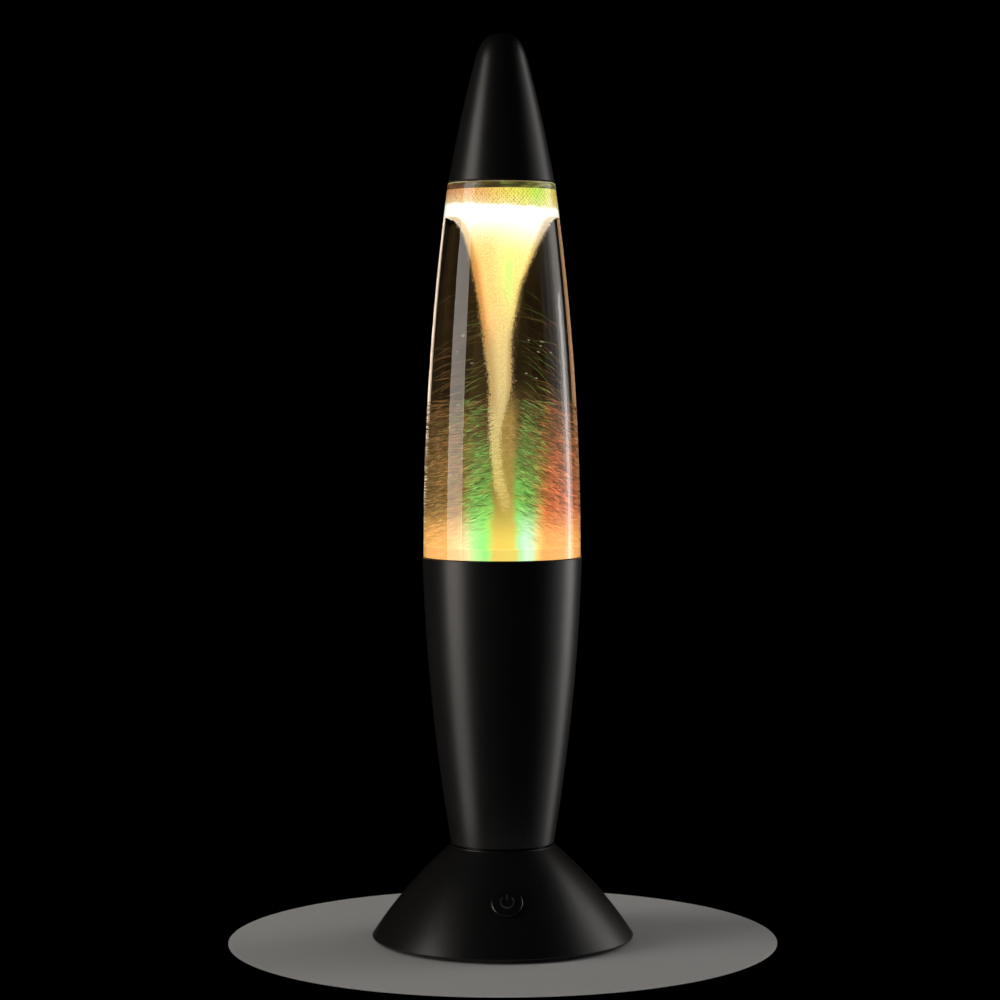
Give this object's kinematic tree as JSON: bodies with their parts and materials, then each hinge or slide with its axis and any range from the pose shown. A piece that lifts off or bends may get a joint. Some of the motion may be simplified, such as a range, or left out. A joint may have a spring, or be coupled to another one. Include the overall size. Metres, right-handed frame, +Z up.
{
  "type": "vortex lamp",
  "caption": "Rocket-shaped vortex lamp: a clear tapered vessel of liquid and floating beads over a black tapered body, with a nose cap, a flared base and a push button.",
  "frame": {"origin": "centre of the footprint, on the surface the lamp stands on", "axes": "+Z up along the lamp's axis, -Y out through the push button, +X to the right of it"},
  "size_m": [0.1, 0.1, 0.3454],
  "materials": {
    "shell_black": "soft matte black",
    "button_black": "matte black",
    "clear_acrylic": "clear polished",
    "liquid": "clear water",
    "beads": "small pale beads, lit by the lamp",
    "dark_plastic": "moulded black",
    "white_plastic": "moulded white",
    "rubber_black": "soft rubber",
    "steel": "plain steel",
    "nickel": "nickel plated",
    "brass_tabs": "plain brass",
    "circuit_board": "green solder mask",
    "led_white": "white housing, clear window",
    "cell_jacket": "plain jacket"
  },
  "bodies": {
    "housing": {"cap_gasket": "rubber_black", "filler_stopper": "dark_plastic", "stopper_seal": "rubber_black", "vessel": "clear_acrylic", "vessel_floor": "clear_acrylic", "vessel_gasket": "rubber_black", "water_fill": "liquid", "impeller_pin": "steel", "pin_clip": "steel", "body_shell": "shell_black", "vessel_screws": "steel", "motor_mount": "white_plastic", "motor_can": "steel", "motor_end_cap": "white_plastic", "motor_terminals": "brass_tabs", "motor_screws": "steel", "led_board": "circuit_board", "leds": "led_white", "led_screws": "steel", "base_shell": "shell_black", "body_screws": "steel", "base_plate": "dark_plastic", "base_screws": "steel", "hinge_pin": "steel", "battery_contacts": "steel", "switch_body": "dark_plastic", "switch_board": "circuit_board", "switch_screws": "steel", "main_board": "circuit_board", "main_screws": "steel", "driver_chip": "dark_plastic", "capacitor": "dark_plastic", "lead_headers": "white_plastic", "battery_cell_1": "cell_jacket", "battery_cell_2": "cell_jacket", "battery_cell_3": "cell_jacket", "foot_1": "rubber_black", "foot_2": "rubber_black", "foot_3": "rubber_black", "foot_4": "rubber_black"},
    "cap": {"top_cap": "shell_black", "cap_collar": "dark_plastic"},
    "motor_rotor": {"motor_shaft": "steel", "drive_rotor": "dark_plastic", "drive_magnets": "nickel"},
    "impeller_rotor": {"impeller": "white_plastic", "impeller_magnets": "nickel"},
    "bead_swirl": {"bead_vortex": "beads"},
    "button": {"power_button": "button_black"},
    "plunger": {"switch_plunger": "white_plastic"},
    "door": {"battery_door": "dark_plastic"}
  },
  "joints": [
    {"name": "cap_lift", "type": "slide", "parent": "housing", "child": "cap", "axis": [0, 0, 1], "range_m": [0, 0.03]},
    {"name": "motor_spin", "type": "hinge", "parent": "housing", "child": "motor_rotor", "pos_m": [0, 0, 0.1358], "axis": [0, 0, 1], "continuous": true},
    {"name": "impeller_spin", "type": "hinge", "parent": "housing", "child": "impeller_rotor", "pos_m": [0, 0, 0.1448], "axis": [0, 0, 1], "continuous": true},
    {"name": "vortex_swirl", "type": "hinge", "parent": "housing", "child": "bead_swirl", "pos_m": [0, 0, 0.2761], "axis": [0, 0, 1], "continuous": true},
    {"name": "button_press", "type": "slide", "parent": "housing", "child": "button", "axis": [0, 0.7535, -0.6574], "range_m": [0, 0.0005], "stiffness_N_per_m": 600},
    {"name": "plunger_travel", "type": "slide", "parent": "housing", "child": "plunger", "axis": [0, 0.7535, -0.6574], "range_m": [0, 0.0005]},
    {"name": "door_swing", "type": "hinge", "parent": "housing", "child": "door", "pos_m": [-0.03065, 0.001, 0.0021], "axis": [0, 1, 0], "range_deg": [0, 100]}
  ],
  "couplings": [
    {"joint": "impeller_spin", "follows": "motor_spin", "ratio": 1},
    {"joint": "vortex_swirl", "follows": "motor_spin", "ratio": 0.25},
    {"joint": "plunger_travel", "follows": "button_press", "ratio": 1}
  ]
}
